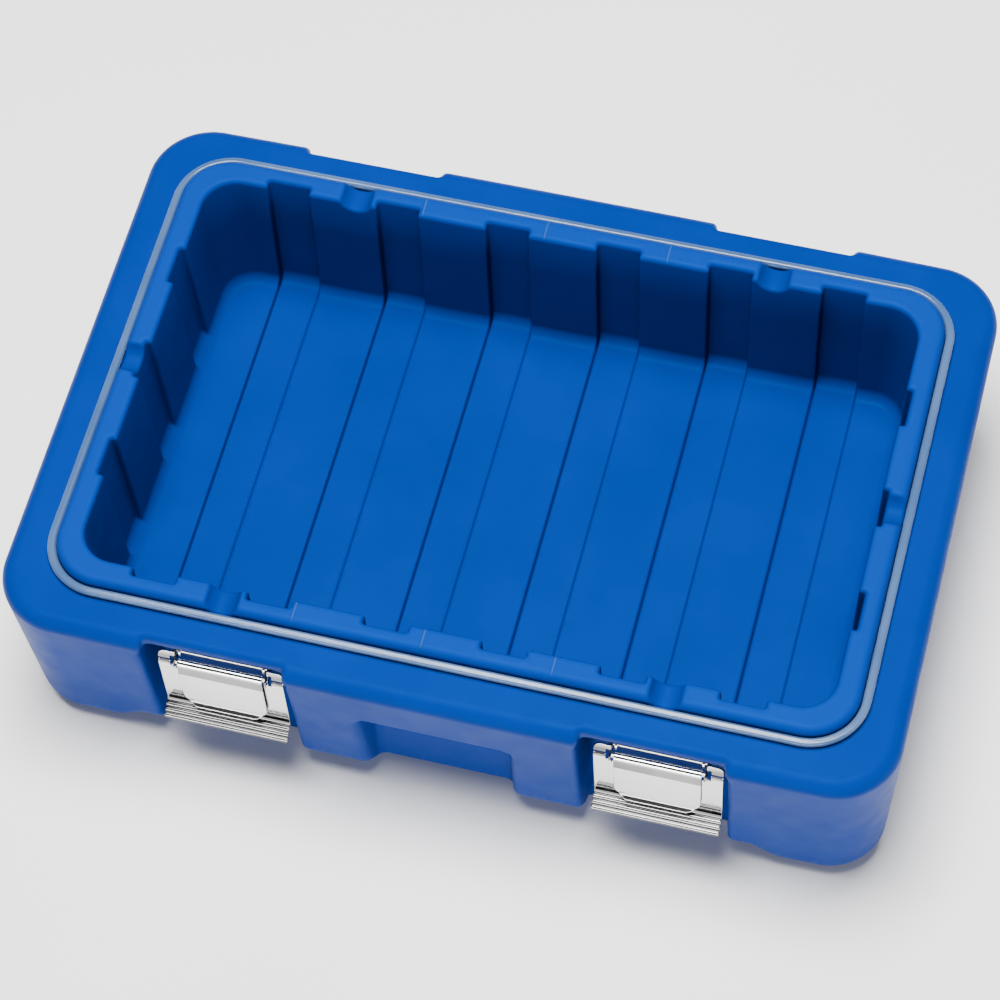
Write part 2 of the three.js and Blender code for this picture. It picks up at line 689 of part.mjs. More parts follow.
function addLatch(name, x, side) {
  const latch = new THREE.Group();
  latch.position.set(x + LATCH_SHIFT, 0, 0);
  latch.rotation.z = side > 0 ? Math.PI : 0;
  carrier.add(latch);
  addMesh(latch, `latch_bracket_${name}`, bracketGeometry, steel);
  addMesh(latch, `hinge_pin_${name}`, hingePinGeometry, steel);
  addMesh(latch, `latch_handle_${name}`, handleGeometry, steel);
  addMesh(latch, `hook_pin_${name}`, hookPinGeometry, steel);
  addMesh(latch, `latch_hook_${name}`, hookGeometry, steel);
  rivetPlaces().forEach((place, i) => {
    const mesh = addMesh(latch, `rivet_${name}_${i + 1}`, rivetGeometry, steel);
    const tip = -LATCH_RECESS_PLANE - FIT_GAP * 2 - BRACKET_SHEET + RIVET_LENGTH;
    mesh.position.set(place.x, tip, place.z);
    mesh.rotation.x = Math.PI;
  });
}

addLatch('front_left', -LATCH_X, -1);
addLatch('front_right', LATCH_X, -1);
addLatch('rear_left', -LATCH_X, 1);
addLatch('rear_right', LATCH_X, 1);

export default carrier;
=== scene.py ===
"""Insulated food carrier base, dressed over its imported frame: moulded body, gasket and latches."""

import math

import bpy
import numpy as np
from mathutils import Matrix, Vector


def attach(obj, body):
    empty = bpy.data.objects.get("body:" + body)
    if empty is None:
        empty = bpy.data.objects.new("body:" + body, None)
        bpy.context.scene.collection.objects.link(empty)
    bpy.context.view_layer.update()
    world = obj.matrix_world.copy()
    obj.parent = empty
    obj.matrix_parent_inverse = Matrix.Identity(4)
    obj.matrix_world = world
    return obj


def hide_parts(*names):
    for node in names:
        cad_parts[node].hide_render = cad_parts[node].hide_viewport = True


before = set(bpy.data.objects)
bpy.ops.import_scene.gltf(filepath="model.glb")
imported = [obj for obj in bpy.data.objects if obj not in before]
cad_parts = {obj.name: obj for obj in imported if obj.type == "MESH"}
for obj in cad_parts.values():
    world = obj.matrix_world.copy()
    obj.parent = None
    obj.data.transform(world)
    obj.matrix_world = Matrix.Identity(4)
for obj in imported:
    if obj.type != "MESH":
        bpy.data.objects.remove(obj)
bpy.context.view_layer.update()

MM = 0.001

# Cell sizes of the grids that the shapes are meshed on, in mm like every size below.
BODY_STEP = 1.9
LATCH_STEP = 0.5

# Outer walls and flange. Pairs are half sizes, or their changes, along x and y.
WALL_HALF = (336.5, 228.5)
WALL_LEAN = (8, 13.5)
WALL_CORNER = 50
CORNER_LOSS = 8
WALL_BOW = 1.8
WALL_BOW_REACH = 285
FLANGE_Z = 170.0
FLANGE_ROUND = 12

# Underside, and the feet that slope down from it at the corners.
UNDERSIDE_Z = 15
UNDERSIDE_ROUND = 25
FOOT_START = (257, 140)
FOOT_CORNER = 18
FOOT_SLOPE = 26

# Raised lip, and the tub at its floor with its spread up to the lip.
LIP_Z = 182.5
LIP_HALF = (299.9, 191.8)
LIP_CORNER = 38
LIP_ROUND = 6
FLOOR_Z = 57.0
TUB_HALF = (276.3, 167.3)
TUB_SPREAD = (4.4, 4.7)
TUB_CORNER = 26
TUB_FILLET = 9

# Channels down the tub's walls, on one side of the middle, and the troughs across the lip.
CHANNEL_PITCH = 87.6
LONG_CHANNELS = (43.8, 131.4, 219)
LONG_CHANNEL_HALF = 16.5
LONG_CHANNEL_DEPTH = 7
SHORT_CHANNELS = (0, 87.5)
SHORT_CHANNEL_HALF = 15.5
SHORT_CHANNEL_DEPTH = 5
TROUGH_X = 164.6
TROUGH_Z = 185.5
TROUGH_RADIUS = 12.5

# Recesses in the long walls, and the holes in the underside.
LATCH_X = 163.5
LATCH_RECESS_HALF = 53.5
RIM_NOTCH_Y = 220.5
PLUG_X = 110

# Bead round the lip.
BEAD_HALF = (303.7, 195.6)
BEAD_CORNER = 41.8
BEAD_RADIUS = 3.25
BEAD_GROOVE = 0.45
BEAD_GROOVE_AT = math.radians(80)
BEAD_GROOVE_WIDTH = 0.33

# Latch, as (y, z) places in the front wall. It hangs to the right of its recess's middle.
LATCH_SHIFT = 4.2
HINGE = (-213.5, 146.0)
PIVOT = (-221.5, 142.0)
HANDLE_HALF = 47.7
HANDLE_SHEET = 1.5
HANDLE_TOP = (-218.5, 150)
HANDLE_BEND = (-222.5, 139)
COVE_Z = 83
COVE_RADIUS = 5
GRIP_TURN = math.radians(50)
RIDGES = 3
RIDGE_PITCH = 4.4
RIDGE_HEIGHT = 1.3
EAR_X = 35
HOOK_HALF = 32.2
HOOK_SHEET = 1.2
HOOK_CURL = 3.1


# ---------------------------------------------------------------- distance fields, in mm


def common(a, b, radius):
    """Both solids, with the edge between them rounded."""
    outside = np.hypot(np.maximum(radius + a, 0), np.maximum(radius + b, 0))
    return np.minimum(-radius, np.maximum(a, b)) + outside


def either(a, b, radius):
    """One solid or the other, with a fillet where they meet."""
    return -common(-a, -b, radius)


def without(a, b, radius):
    """The first solid less the second, with the new edge rounded."""
    return common(a, -b, radius)


def round_box(x, y, half_x, half_y, radius):
    """Flat rectangle with round corners, for x and y on one side of its middle or the other."""
    over_x = np.abs(x) - (half_x - radius)
    over_y = np.abs(y) - (half_y - radius)
    corner = np.hypot(np.maximum(over_x, 0), np.maximum(over_y, 0))
    return corner + np.minimum(np.maximum(over_x, over_y), 0) - radius


def line_distance(px, py, points):
    """Distance from each point to an open line through points."""
    best = np.full(np.broadcast_shapes(np.shape(px), np.shape(py)), 1e9)
    for (ax, ay), (bx, by) in zip(points[:-1], points[1:]):
        dx, dy = bx - ax, by - ay
        along = ((px - ax) * dx + (py - ay) * dy) / max(dx * dx + dy * dy, 1e-12)
        along = np.clip(along, 0, 1)
        best = np.minimum(best, np.hypot(px - ax - along * dx, py - ay - along * dy))
    return best


def polygon_distance(px, py, points):
    """Signed distance to a closed outline, negative inside."""
    closed = list(points) + [points[0]]
    best = line_distance(px, py, closed)
    inside = np.zeros(best.shape, bool)
    for (ax, ay), (bx, by) in zip(closed[:-1], closed[1:]):
        if ay == by:
            continue
        crosses = (ay > py) != (by > py)
        inside ^= crosses & (px < (bx - ax) * (py - ay) / (by - ay) + ax)
    return np.where(inside, -best, best)


def filleted(points, radii):
    """The line through points, each inner corner replaced by an arc of the given radius."""
    points = [np.array(p, float) for p in points]
    line = [points[0]]
    for before, here, after, radius in zip(points, points[1:-1], points[2:], radii):
        a, b = before - here, after - here
        len_a, len_b = np.linalg.norm(a), np.linalg.norm(b)
        a, b = a / len_a, b / len_b
        half = math.acos(np.clip(a @ b, -1, 1)) / 2
        if radius <= 0 or half > math.pi / 2 - 1e-3:
            line.append(here)
            continue
        reach = min(radius / math.tan(half), 0.49 * len_a, 0.49 * len_b)
        radius = reach * math.tan(half)
        middle = here + (a + b) / np.linalg.norm(a + b) * (radius / math.sin(half))
        start, end = here + a * reach - middle, here + b * reach - middle
        angle0 = math.atan2(start[1], start[0])
        turn = (math.atan2(end[1], end[0]) - angle0 + math.pi) % (2 * math.pi) - math.pi
        steps = max(3, int(abs(turn) / 0.15))
        for i in range(steps + 1):
            angle = angle0 + turn * i / steps
            line.append(middle + radius * np.array([math.cos(angle), math.sin(angle)]))
    line.append(points[-1])
    return [tuple(p) for p in line]


# ---------------------------------------------------------------- field to mesh


def surface_net(values, low, step):
    """Vertices and quads of the zero surface of a sampled field."""
    inside = values < 0
    nx, ny, nz = (n - 1 for n in values.shape)
    offsets = [(i, j, k) for i in (0, 1) for j in (0, 1) for k in (0, 1)]
    count = np.zeros((nx, ny, nz), np.uint8)
    for i, j, k in offsets:
        count += inside[i : i + nx, j : j + ny, k : k + nz]
    cells = np.argwhere((count > 0) & (count < 8)).astype(np.int32)
    ids = np.full((nx, ny, nz), -1, np.int32)
    ids[cells[:, 0], cells[:, 1], cells[:, 2]] = np.arange(len(cells))
    corner = {o: values[cells[:, 0] + o[0], cells[:, 1] + o[1], cells[:, 2] + o[2]] for o in offsets}
    total = np.zeros((len(cells), 3))
    hits = np.zeros(len(cells))
    for a in offsets:
        for axis in range(3):
            if a[axis]:
                continue
            b = tuple(a[n] + (n == axis) for n in range(3))
            crossed = (corner[a] < 0) != (corner[b] < 0)
            share = np.where(crossed, corner[a] / np.where(crossed, corner[a] - corner[b], 1), 0)
            for n in range(3):
                total[:, n] += crossed * (a[n] + (share if n == axis else 0))
            hits += crossed
    points = low + (cells + total / hits[:, None]) * step
    quads = []
    for axis in range(3):
        u, v = (axis + 1) % 3, (axis + 2) % 3
        ahead = [slice(None)] * 3
        behind = [slice(None)] * 3
        ahead[axis], behind[axis] = slice(1, None), slice(None, -1)
        crossed = inside[tuple(ahead)] != inside[tuple(behind)]
        at = np.argwhere(crossed)
        within_u = (at[:, u] > 0) & (at[:, u] < values.shape[u] - 1)
        within_v = (at[:, v] > 0) & (at[:, v] < values.shape[v] - 1)
        at = at[within_u & within_v]
        ring = []
        for du, dv in ((-1, -1), (0, -1), (0, 0), (-1, 0)):
            cell = at.copy()
            cell[:, u] += du
            cell[:, v] += dv
            ring.append(ids[cell[:, 0], cell[:, 1], cell[:, 2]])
        quad = np.stack(ring, 1)
        flip = ~inside[at[:, 0], at[:, 1], at[:, 2]]
        quad[flip] = quad[flip][:, ::-1]
        quads.append(quad)
    return points, np.concatenate(quads)


def gradient(field, points, reach=0.05):
    """Slope of a field at points, from its values a reach to each side."""
    x, y, z = points.T
    slopes = []
    for n in range(3):
        shift = [reach if n == m else 0.0 for m in range(3)]
        ahead = field(x + shift[0], y + shift[1], z + shift[2])
        behind = field(x - shift[0], y - shift[1], z - shift[2])
        slopes.append((ahead - behind) / (2 * reach))
    return np.stack(slopes, 1)


def settled(field, points, rounds, limit):
    """The points moved onto the field's surface, and the surface's direction there."""
    for _ in range(rounds):
        slope = gradient(field, points)
        steep = np.maximum((slope**2).sum(1), 0.1)
        move = slope * (field(*points.T) / steep)[:, None]
        length = np.linalg.norm(move, axis=1)
        points = points - move * np.minimum(1, limit / np.maximum(length, 1e-9))[:, None]
    slope = gradient(field, points, 0.3)
    return points, slope / np.maximum(np.linalg.norm(slope, axis=1), 1e-9)[:, None]


def sampled(field, low, high, step, mirrored=False):
    """The field on a grid over a box. A mirrored box is even about x = 0 and y = 0."""
    axes = []
    for n in range(3):
        if mirrored and n < 2:
            axes.append((np.arange(int(high[n] / step) + 2) + 0.5) * step)
        else:
            axes.append(low[n] + np.arange(int((high[n] - low[n]) / step) + 2) * step)
    x, y, z = (a.astype(np.float32) for a in axes)
    values = np.empty((len(x), len(y), len(z)), np.float32)
    for start in range(0, len(x), 16):
        part = slice(start, start + 16)
        values[part] = field(x[part, None, None], y[None, :, None], z[None, None, :])
    origin = np.array([a[0] for a in axes])
    if mirrored:
        values = np.concatenate([values[::-1], values], 0)
        values = np.concatenate([values[:, ::-1], values], 1)
        origin[0], origin[1] = -axes[0][-1], -axes[1][-1]
    return values, origin


def field_mesh(name, field, low, high, step, keep, mirrored=False):
    """Mesh data, in mm, of a field's surface: netted, thinned to a share of its faces and settled."""
    values, origin = sampled(field, low, high, step, mirrored)
    points, quads = surface_net(values, origin, step)
    points, _ = settled(field, points, 2, step)
    mesh = bpy.data.meshes.new(name)
    mesh.from_pydata(points.tolist(), [], quads.tolist())
    if keep < 1:
        holder = bpy.data.objects.new(name + "_thin", mesh)
        bpy.context.scene.collection.objects.link(holder)
        thin = holder.modifiers.new("thin", "DECIMATE")
        thin.ratio = keep
        view = bpy.context.evaluated_depsgraph_get()
        mesh = bpy.data.meshes.new_from_object(holder.evaluated_get(view))
        bpy.data.objects.remove(holder)
    flat = np.zeros(len(mesh.vertices) * 3, np.float32)
    mesh.vertices.foreach_get("co", flat)
    points, normals = settled(field, flat.reshape(-1, 3).astype(float), 2, step * 0.5)
    return mesh, np.clip(points, np.array(low) + 1.5 * step, np.array(high) - step), normals


def placed(name, source, turn=None, shift=(0.0, 0.0, 0.0)):
    """An object in metres from (mesh, points, normals) in mm, turned half round if asked and moved."""
    mesh, points, normals = source
    mesh = mesh.copy()
    mesh.name = name
    if turn:
        flip = np.array([-1.0, -1.0, 1.0])
        points, normals = points * flip, normals * flip
    mesh.vertices.foreach_set("co", ((points + np.array(shift)) * MM).astype(np.float32).ravel())
    mesh.shade_smooth()
    mesh.update()
    mesh.normals_split_custom_set_from_vertices(normals.tolist())
    obj = bpy.data.objects.new(name, mesh)
    bpy.context.scene.collection.objects.link(obj)
    return obj


# ---------------------------------------------------------------- moulded body


def nearest(across, places):
    """Distance to the nearest of several places."""
    best = np.abs(across - places[0])
    for place in places[1:]:
        best = np.minimum(best, np.abs(across - place))
    return best


def recess(across, y, z, half, top, plane, flare):
    """Space cut into a long wall, open at the bottom, its sides and top flaring outwards."""
    spread = flare * (y - plane) / (245.0 - plane)
    over_x = np.abs(across) - (half + spread - 10)
    over_z = z - (top + spread - 10)
    corner = np.hypot(np.maximum(over_x, 0), np.maximum(over_z, 0))
    outline = corner + np.minimum(np.maximum(over_x, over_z), 0) - 10
    return common(outline, plane - y, 5)


def tub_space(x, y, z):
    """The space inside the tub, with the channels down its walls and over its floor."""
    rise = (z - FLOOR_Z) / (LIP_Z - FLOOR_Z)
    half_x = TUB_HALF[0] + TUB_SPREAD[0] * rise
    half_y = TUB_HALF[1] + TUB_SPREAD[1] * rise
    space = common(round_box(x, y, half_x, half_y, TUB_CORNER), FLOOR_Z - z, TUB_FILLET)
    beside = nearest(x, LONG_CHANNELS) - LONG_CHANNEL_HALF
    within = common(y - half_y - LONG_CHANNEL_DEPTH, FLOOR_Z - 2 - z, TUB_FILLET)
    space = either(space, common(beside, within, 1.5), 1.8)
    beside = nearest(y, SHORT_CHANNELS) - SHORT_CHANNEL_HALF
    within = common(x - half_x - SHORT_CHANNEL_DEPTH, FLOOR_Z + 2.5 - z, TUB_FILLET)
    return either(space, common(beside, within, 1.5), 2)


def outer_form(x, y, z):
    """Walls, flange and feet as one solid, on one side of the middle."""
    lean = (FLANGE_Z - z) / FLANGE_Z
    bow = WALL_BOW * np.clip(1 - (x / WALL_BOW_REACH) ** 2, 0, 1)
    half_x = WALL_HALF[0] - WALL_LEAN[0] * lean
    half_y = WALL_HALF[1] + bow - WALL_LEAN[1] * lean
    walls = round_box(x, y, half_x, half_y, WALL_CORNER - CORNER_LOSS * lean)
    from_foot = common(FOOT_START[0] - x, FOOT_START[1] - y, FOOT_CORNER)
    share = np.clip((from_foot + 2) / FOOT_SLOPE, 0, 1)
    under = UNDERSIDE_Z * share**2 * (3 - 2 * share)
    return common(common(walls, z - FLANGE_Z, FLANGE_ROUND), under - z, UNDERSIDE_ROUND)


def carrier(x, y, z):
    """The whole moulding as one solid."""
    x, y = np.abs(x), np.abs(y)
    lip = common(round_box(x, y, *LIP_HALF, LIP_CORNER), z - LIP_Z, LIP_ROUND)
    body = either(outer_form(x, y, z), lip, 1.2)
    body = without(body, tub_space(x, y, z), 4)
    across_long = np.hypot(x - TROUGH_X, z - TROUGH_Z) - TROUGH_RADIUS
    across_long = np.maximum(across_long, np.maximum(165 - y, y - 200))
    across_short = np.hypot(y, z - TROUGH_Z) - TROUGH_RADIUS
    across_short = np.maximum(across_short, np.maximum(275 - x, x - 308))
    body = without(body, np.minimum(across_long, across_short), 2.5)
    latch = recess(x - LATCH_X, y, z, LATCH_RECESS_HALF, 157.0, 188.0, 3)
    notch = common(np.abs(x - LATCH_X) - LATCH_RECESS_HALF, RIM_NOTCH_Y - y, 3)
    body = without(body, either(latch, common(notch, 140 - z, 1), 3), 4.5)
    body = without(body, recess(x, y, z, 51.0, 108.0, 202.0, 14), 6)
    from_plug = np.hypot(x - PLUG_X, y)
    seat = np.maximum(from_plug - 19.3, z - 16.5)
    plug_hole = np.minimum(seat, np.maximum(from_plug - 14, z - 30))
    return without(body, plug_hole, 0.8)


# ---------------------------------------------------------------- latch pieces, in the latch's own frame


def cove_point(angle):
    """Place on the arc that turns the handle's plate out into its grip."""
    return (HANDLE_BEND[0] - COVE_RADIUS * (1 - math.cos(angle)), COVE_Z - COVE_RADIUS * math.sin(angle))


GRIP_START = cove_point(GRIP_TURN)


def handle_line():
    """Middle line of the handle's sheet, from its top edge down to the end of the grip."""
    line = filleted([HANDLE_TOP, HANDLE_BEND, (HANDLE_BEND[0], COVE_Z)], [6])[:-1]
    line += [cove_point(angle) for angle in np.linspace(0, GRIP_TURN, 10)]
    for along in np.linspace(0, RIDGES, 40)[1:]:
        raised = RIDGE_HEIGHT * abs(math.sin(along * math.pi)) ** 0.8
        run = along * RIDGE_PITCH
        y = GRIP_START[0] - run * math.sin(GRIP_TURN) - raised * math.cos(GRIP_TURN)
        z = GRIP_START[1] - run * math.cos(GRIP_TURN) + raised * math.sin(GRIP_TURN)
        line.append((y, z))
    line = np.array(line)
    ahead = np.gradient(line, axis=0)
    ahead /= np.linalg.norm(ahead, axis=1)[:, None]
    return (line + HANDLE_SHEET / 2 * np.stack([-ahead[:, 1], ahead[:, 0]], 1)).tolist()


def arc(middle, radius, start, end, count):
    """Points round a middle from one angle in degrees to another."""
    angles = np.radians(np.linspace(start, end, count))
    return [(middle[0] + radius * math.cos(a), middle[1] + radius * math.sin(a)) for a in angles]


HANDLE_LINE = handle_line()
EAR = [*arc(HINGE, 4, -20, 90, 8), *arc(PIVOT, 4, 130, 250, 8), (-223, 133), (-221, 133)]
BRACKET_EAR = [*arc(HINGE, 4.4, 90, 290, 14), (-188.5, 114), (-188.5, 148.4)]
HOOK_LINE = filleted([(-224.0, PIVOT[1]), (-224.9, 131), (-224.9, 89.2), (-227.7, 86.4)], [5, 2])


def hole(y, z, place, radius):
    """Distance to a round bar or hole along x."""
    return np.hypot(y - place[0], z - place[1]) - radius


def handle(x, y, z):
    """Plate with a ridged grip, slots beside its ears and holes for both pins."""
    sheet = line_distance(y, z, HANDLE_LINE) - HANDLE_SHEET / 2
    sheet = common(sheet, round_box(x, z - 60, HANDLE_HALF, 90.5, 5), 0.45)
    gap = common(np.abs(x) - EAR_X, 134 - z, 2)
    sheet = without(sheet, gap, 0.4)
    slot = round_box(np.abs(x) - 37.4, z - 141, 1.2, 5.5, 1.0)
    sheet = without(sheet, slot, 0.3)
    ears = common(polygon_distance(y, z, EAR), np.abs(np.abs(x) - EAR_X) - HANDLE_SHEET / 2, 0.35)
    whole = either(sheet, ears, 0.6)
    return without(whole, np.minimum(hole(y, z, HINGE, 2.2), hole(y, z, PIVOT, 1.7)), 0.1)


def hook(x, y, z):
    """Plate curled round the hook pin, its lower end bent out and its corners round."""
    sheet = line_distance(y, z, HOOK_LINE) - HOOK_SHEET / 2
    curl = hole(y, z, PIVOT, HOOK_CURL)
    plate = either(sheet, curl, 1.0)
    tongue = round_box(x, z - 156, HOOK_HALF, 70.2, 13)
    plate = common(plate, tongue, 0.4)
    return without(plate, hole(y, z, PIVOT, 1.7), 0.1)


def bracket(x, y, z):
    """Plate on the wall with two ears that hold the hinge pin."""
    base = common(round_box(x, z - 129, 33, 21, 2), np.abs(y + 189.3) - 1.0, 0.4)
    ears = common(polygon_distance(y, z, BRACKET_EAR), np.abs(np.abs(x) - 32) - 1.0, 0.4)
    whole = either(base, ears, 1.5)
    return without(whole, hole(y, z, HINGE, 2.25), 0.2)


def lathe(profile, sides):
    """Mesh data of a profile of (radius, height) pairs turned about Z, closed at both ends."""
    rings = [(r, h) for r, h in profile if r > 1e-6]
    angles = np.linspace(0, 2 * math.pi, sides, endpoint=False)
    points, normals, faces = [], [], []
    for n, (r, h) in enumerate(rings):
        before, after = rings[max(n - 1, 0)], rings[min(n + 1, len(rings) - 1)]
        out, up = after[1] - before[1], before[0] - after[0]
        length = math.hypot(out, up) or 1.0
        for a in angles:
            points.append((r * math.cos(a), r * math.sin(a), h))
            normals.append((math.cos(a) * out / length, math.sin(a) * out / length, up / length))
    for n in range(len(rings) - 1):
        for i in range(sides):
            j = (i + 1) % sides
            faces.append((n * sides + i, n * sides + j, (n + 1) * sides + j, (n + 1) * sides + i))
    for ring, sign in ((0, -1), (len(rings) - 1, 1)):
        points.append((0, 0, rings[ring][1]))
        normals.append((0, 0, sign))
        hub = len(points) - 1
        for i in range(sides):
            j = (i + 1) % sides
            pair = (ring * sides + i, ring * sides + j)
            faces.append((*pair, hub) if sign > 0 else (pair[1], pair[0], hub))
    mesh = bpy.data.meshes.new("lathe")
    mesh.from_pydata(points, [], faces)
    return mesh, np.array(points, float), np.array(normals, float)


def turned(source, matrix):
    """The same mesh data turned by a 3 x 3 matrix."""
    mesh, points, normals = source
    matrix = np.array(matrix, float)
    return mesh, points @ matrix.T, normals @ matrix.T


def moved(source, shift):
    """The same mesh data moved."""
    mesh, points, normals = source
    return mesh, points + np.array(shift, float), normals


Z_TO_X = [[0, 0, 1], [0, 1, 0], [-1, 0, 0]]
Z_TO_FRONT = [[1, 0, 0], [0, 0, -1], [0, 1, 0]]


def rounded_edge(radius, height, soft, sign):
    """Profile points round the rim of a disc face at height, soft is the rim's radius."""
    points = []
    for a in np.radians(np.linspace(0, 90, 5)):
        points.append((radius - soft + soft * math.cos(a), height + sign * (soft * math.sin(a) - soft)))
    return points if sign > 0 else points[::-1]


def pin_shape(radius, half, head_radius, head):
    """Pin along x, with a head at both ends unless head is 0."""
    profile = []
    if head:
        profile += rounded_edge(head_radius, -half - head, 0.5, -1)
        profile += [(head_radius, -half), (radius, -half), (radius, half), (head_radius, half)]
        profile += rounded_edge(head_radius, half + head, 0.5, 1)
    else:
        profile += rounded_edge(radius, -half, 0.3, -1) + rounded_edge(radius, half, 0.3, 1)
    return turned(lathe(profile, 32), Z_TO_X)


def rivet_shape():
    """Blind rivet: its shank in the wall and a domed head with the mandrel's dimple."""
    dome = [(4.5 * math.cos(a), 9.35 + 1.25 * math.sin(a)) for a in np.radians(np.linspace(0, 74, 9))]
    profile = [(2.0, 0.0), (2.4, 0.4), (2.4, 9.0), (4.2, 9.0), (4.5, 9.15), *dome]
    profile += [(1.15, 10.55), (1.05, 10.2), (0.9, 10.15)]
    return turned(lathe(profile, 28), Z_TO_FRONT)


# ---------------------------------------------------------------- materials


def node_material(name):
    """A material with only a shader, that shader, and the piece's own coordinates."""
    material = bpy.data.materials.new(name)
    material.use_nodes = True
    nodes = material.node_tree.nodes
    nodes.clear()
    shader = nodes.new("ShaderNodeBsdfPrincipled")
    output = nodes.new("ShaderNodeOutputMaterial")
    material.node_tree.links.new(shader.outputs["BSDF"], output.inputs["Surface"])
    where = nodes.new("ShaderNodeTexCoord")
    return material, shader, where.outputs["Object"]


def noise(material, where, scale, detail=3.0, stretch=None):
    """Noise with scale features in a metre, its coordinates stretched if asked."""
    tree = material.node_tree
    if stretch:
        mapping = tree.nodes.new("ShaderNodeMapping")
        mapping.inputs["Scale"].default_value = stretch
        tree.links.new(where, mapping.inputs["Vector"])
        where = mapping.outputs["Vector"]
    texture = tree.nodes.new("ShaderNodeTexNoise")
    texture.inputs["Scale"].default_value = scale
    texture.inputs["Detail"].default_value = detail
    tree.links.new(where, texture.inputs["Vector"])
    return texture.outputs["Fac"]


def ramp(material, source, low, high, start=0.35, end=0.65):
    """Source spread between two values or two colours."""
    tree = material.node_tree
    if isinstance(low, tuple):
        node = tree.nodes.new("ShaderNodeValToRGB")
        node.color_ramp.elements[0].position = start
        node.color_ramp.elements[1].position = end
        node.color_ramp.elements[0].color = (*low, 1)
        node.color_ramp.elements[1].color = (*high, 1)
        tree.links.new(source, node.inputs["Fac"])
        return node.outputs["Color"]
    node = tree.nodes.new("ShaderNodeMapRange")
    node.inputs["From Min"].default_value = start
    node.inputs["From Max"].default_value = end
    node.inputs["To Min"].default_value = low
    node.inputs["To Max"].default_value = high
    tree.links.new(source, node.inputs["Value"])
    return node.outputs["Result"]


def bump(material, source, strength, distance, after=None):
    """Bump from a height, on top of an earlier one if there is one."""
    tree = material.node_tree
    node = tree.nodes.new("ShaderNodeBump")
    node.inputs["Strength"].default_value = strength
    node.inputs["Distance"].default_value = distance
    tree.links.new(source, node.inputs["Height"])
    if after is not None:
        tree.links.new(after, node.inputs["Normal"])
    return node.outputs["Normal"]


def calc(material, operation, *values):
    """A math node over sockets and numbers."""
    node = material.node_tree.nodes.new("ShaderNodeMath")
    node.operation = operation
    for socket, value in zip(node.inputs, values):
        if isinstance(value, (int, float)):
            socket.default_value = value
        else:
            material.node_tree.links.new(value, socket)
    return node.outputs["Value"]


def split(material, where):
    """The x, y and z of coordinates."""
    node = material.node_tree.nodes.new("ShaderNodeSeparateXYZ")
    material.node_tree.links.new(where, node.inputs["Vector"])
    return node.outputs["X"], node.outputs["Y"], node.outputs["Z"]


def product(material, *values):
    """The values multiplied together."""
    result = values[0]
    for value in values[1:]:
        result = calc(material, "MULTIPLY", result, value)
    return result


def blend(material, share, base, other):
    """The base colour turned into the other colour by a share from 0 to 1."""
    node = material.node_tree.nodes.new("ShaderNodeMix")
    node.data_type = "RGBA"
    link = material.node_tree.links.new
    link(share, node.inputs[0])
    link(base, node.inputs[6])
    node.inputs[7].default_value = (*other, 1)
    return node.outputs[2]


def lines(material, across, pitch, narrow, wide):
    """1 on lines a pitch apart, fading to 0 between narrow and wide."""
    off = calc(material, "PINGPONG", across, pitch / 2)
    return ramp(material, off, 1.0, 0.0, narrow, wide)


def polyethylene():
    """Moulded blue skin, with painted light on the lip's top and painted shade along the sides of the
    tub's channels.
    """
    material, shader, where = node_material("blue_polyethylene_painted_light")
    link = material.node_tree.links.new
    x, y, z = split(material, where)
    side_x, side_y = calc(material, "ABSOLUTE", x), calc(material, "ABSOLUTE", y)
    patches = noise(material, where, 14, 4)
    colour = ramp(material, patches, (0.0003, 0.0205, 0.164), (0.0006, 0.0230, 0.180))
    # Painted light: the lip's top is made paler, as if lit from above.
    lip_top_light = product(material, ramp(material, z, 0.0, 1.0, 0.1802, 0.1824), 0.7)
    colour = blend(material, lip_top_light, colour, (0.0004, 0.033, 0.235))
    in_tub = product(
        material,
        ramp(material, side_x, 1.0, 0.0, 0.278, 0.282),
        ramp(material, side_y, 1.0, 0.0, 0.176, 0.184),
        ramp(material, z, 0.0, 1.0, 0.048, 0.052),
        ramp(material, z, 1.0, 0.0, 0.150, 0.172),
    )
    # Painted shade: dark lines along both sides of each channel in the tub, stronger along its left side.
    left_edge = (LONG_CHANNELS[0] - LONG_CHANNEL_HALF) * MM
    right_edge = (LONG_CHANNELS[0] + LONG_CHANNEL_HALF) * MM
    near_step_shade = lines(material, calc(material, "SUBTRACT", x, left_edge), CHANNEL_PITCH * MM, 0.0003, 0.0016)
    far_step_shade = lines(material, calc(material, "SUBTRACT", x, right_edge), CHANNEL_PITCH * MM, 0.0002, 0.0012)
    channel_shade = calc(material, "MAXIMUM", product(material, near_step_shade, 0.75), product(material, far_step_shade, 0.4))
    colour = blend(material, product(material, channel_shade, in_tub), colour, (0.0, 0.003, 0.045))
    from_middle = calc(material, "ADD", x, 0.0145)
    creases = product(
        material,
        lines(material, from_middle, 0.0965, 0.0003, 0.0013),
        ramp(material, calc(material, "ABSOLUTE", from_middle), 1.0, 0.0, 0.110, 0.112),
        ramp(material, side_y, 0.0, 1.0, 0.172, 0.175),
        ramp(material, side_y, 1.0, 0.0, 0.186, 0.190),
        ramp(material, z, 0.0, 1.0, 0.172, 0.176),
    )
    colour = blend(material, product(material, creases, 0.3), colour, (0.05, 0.12, 0.32))
    link(colour, shader.inputs["Base Color"])
    link(ramp(material, noise(material, where, 45, 5), 0.38, 0.47), shader.inputs["Roughness"])
    shader.inputs["IOR"].default_value = 1.5
    shader.inputs["Specular IOR Level"].default_value = 0.06
    shader.inputs["Specular Tint"].default_value = (0.03, 0.35, 1.0, 1)
    peel = bump(material, noise(material, where, 650, 2), 0.25, 0.00018)
    crease = bump(material, creases, 0.9, 0.0007, peel)
    link(bump(material, noise(material, where, 22, 2), 0.2, 0.0012, crease), shader.inputs["Normal"])
    return material


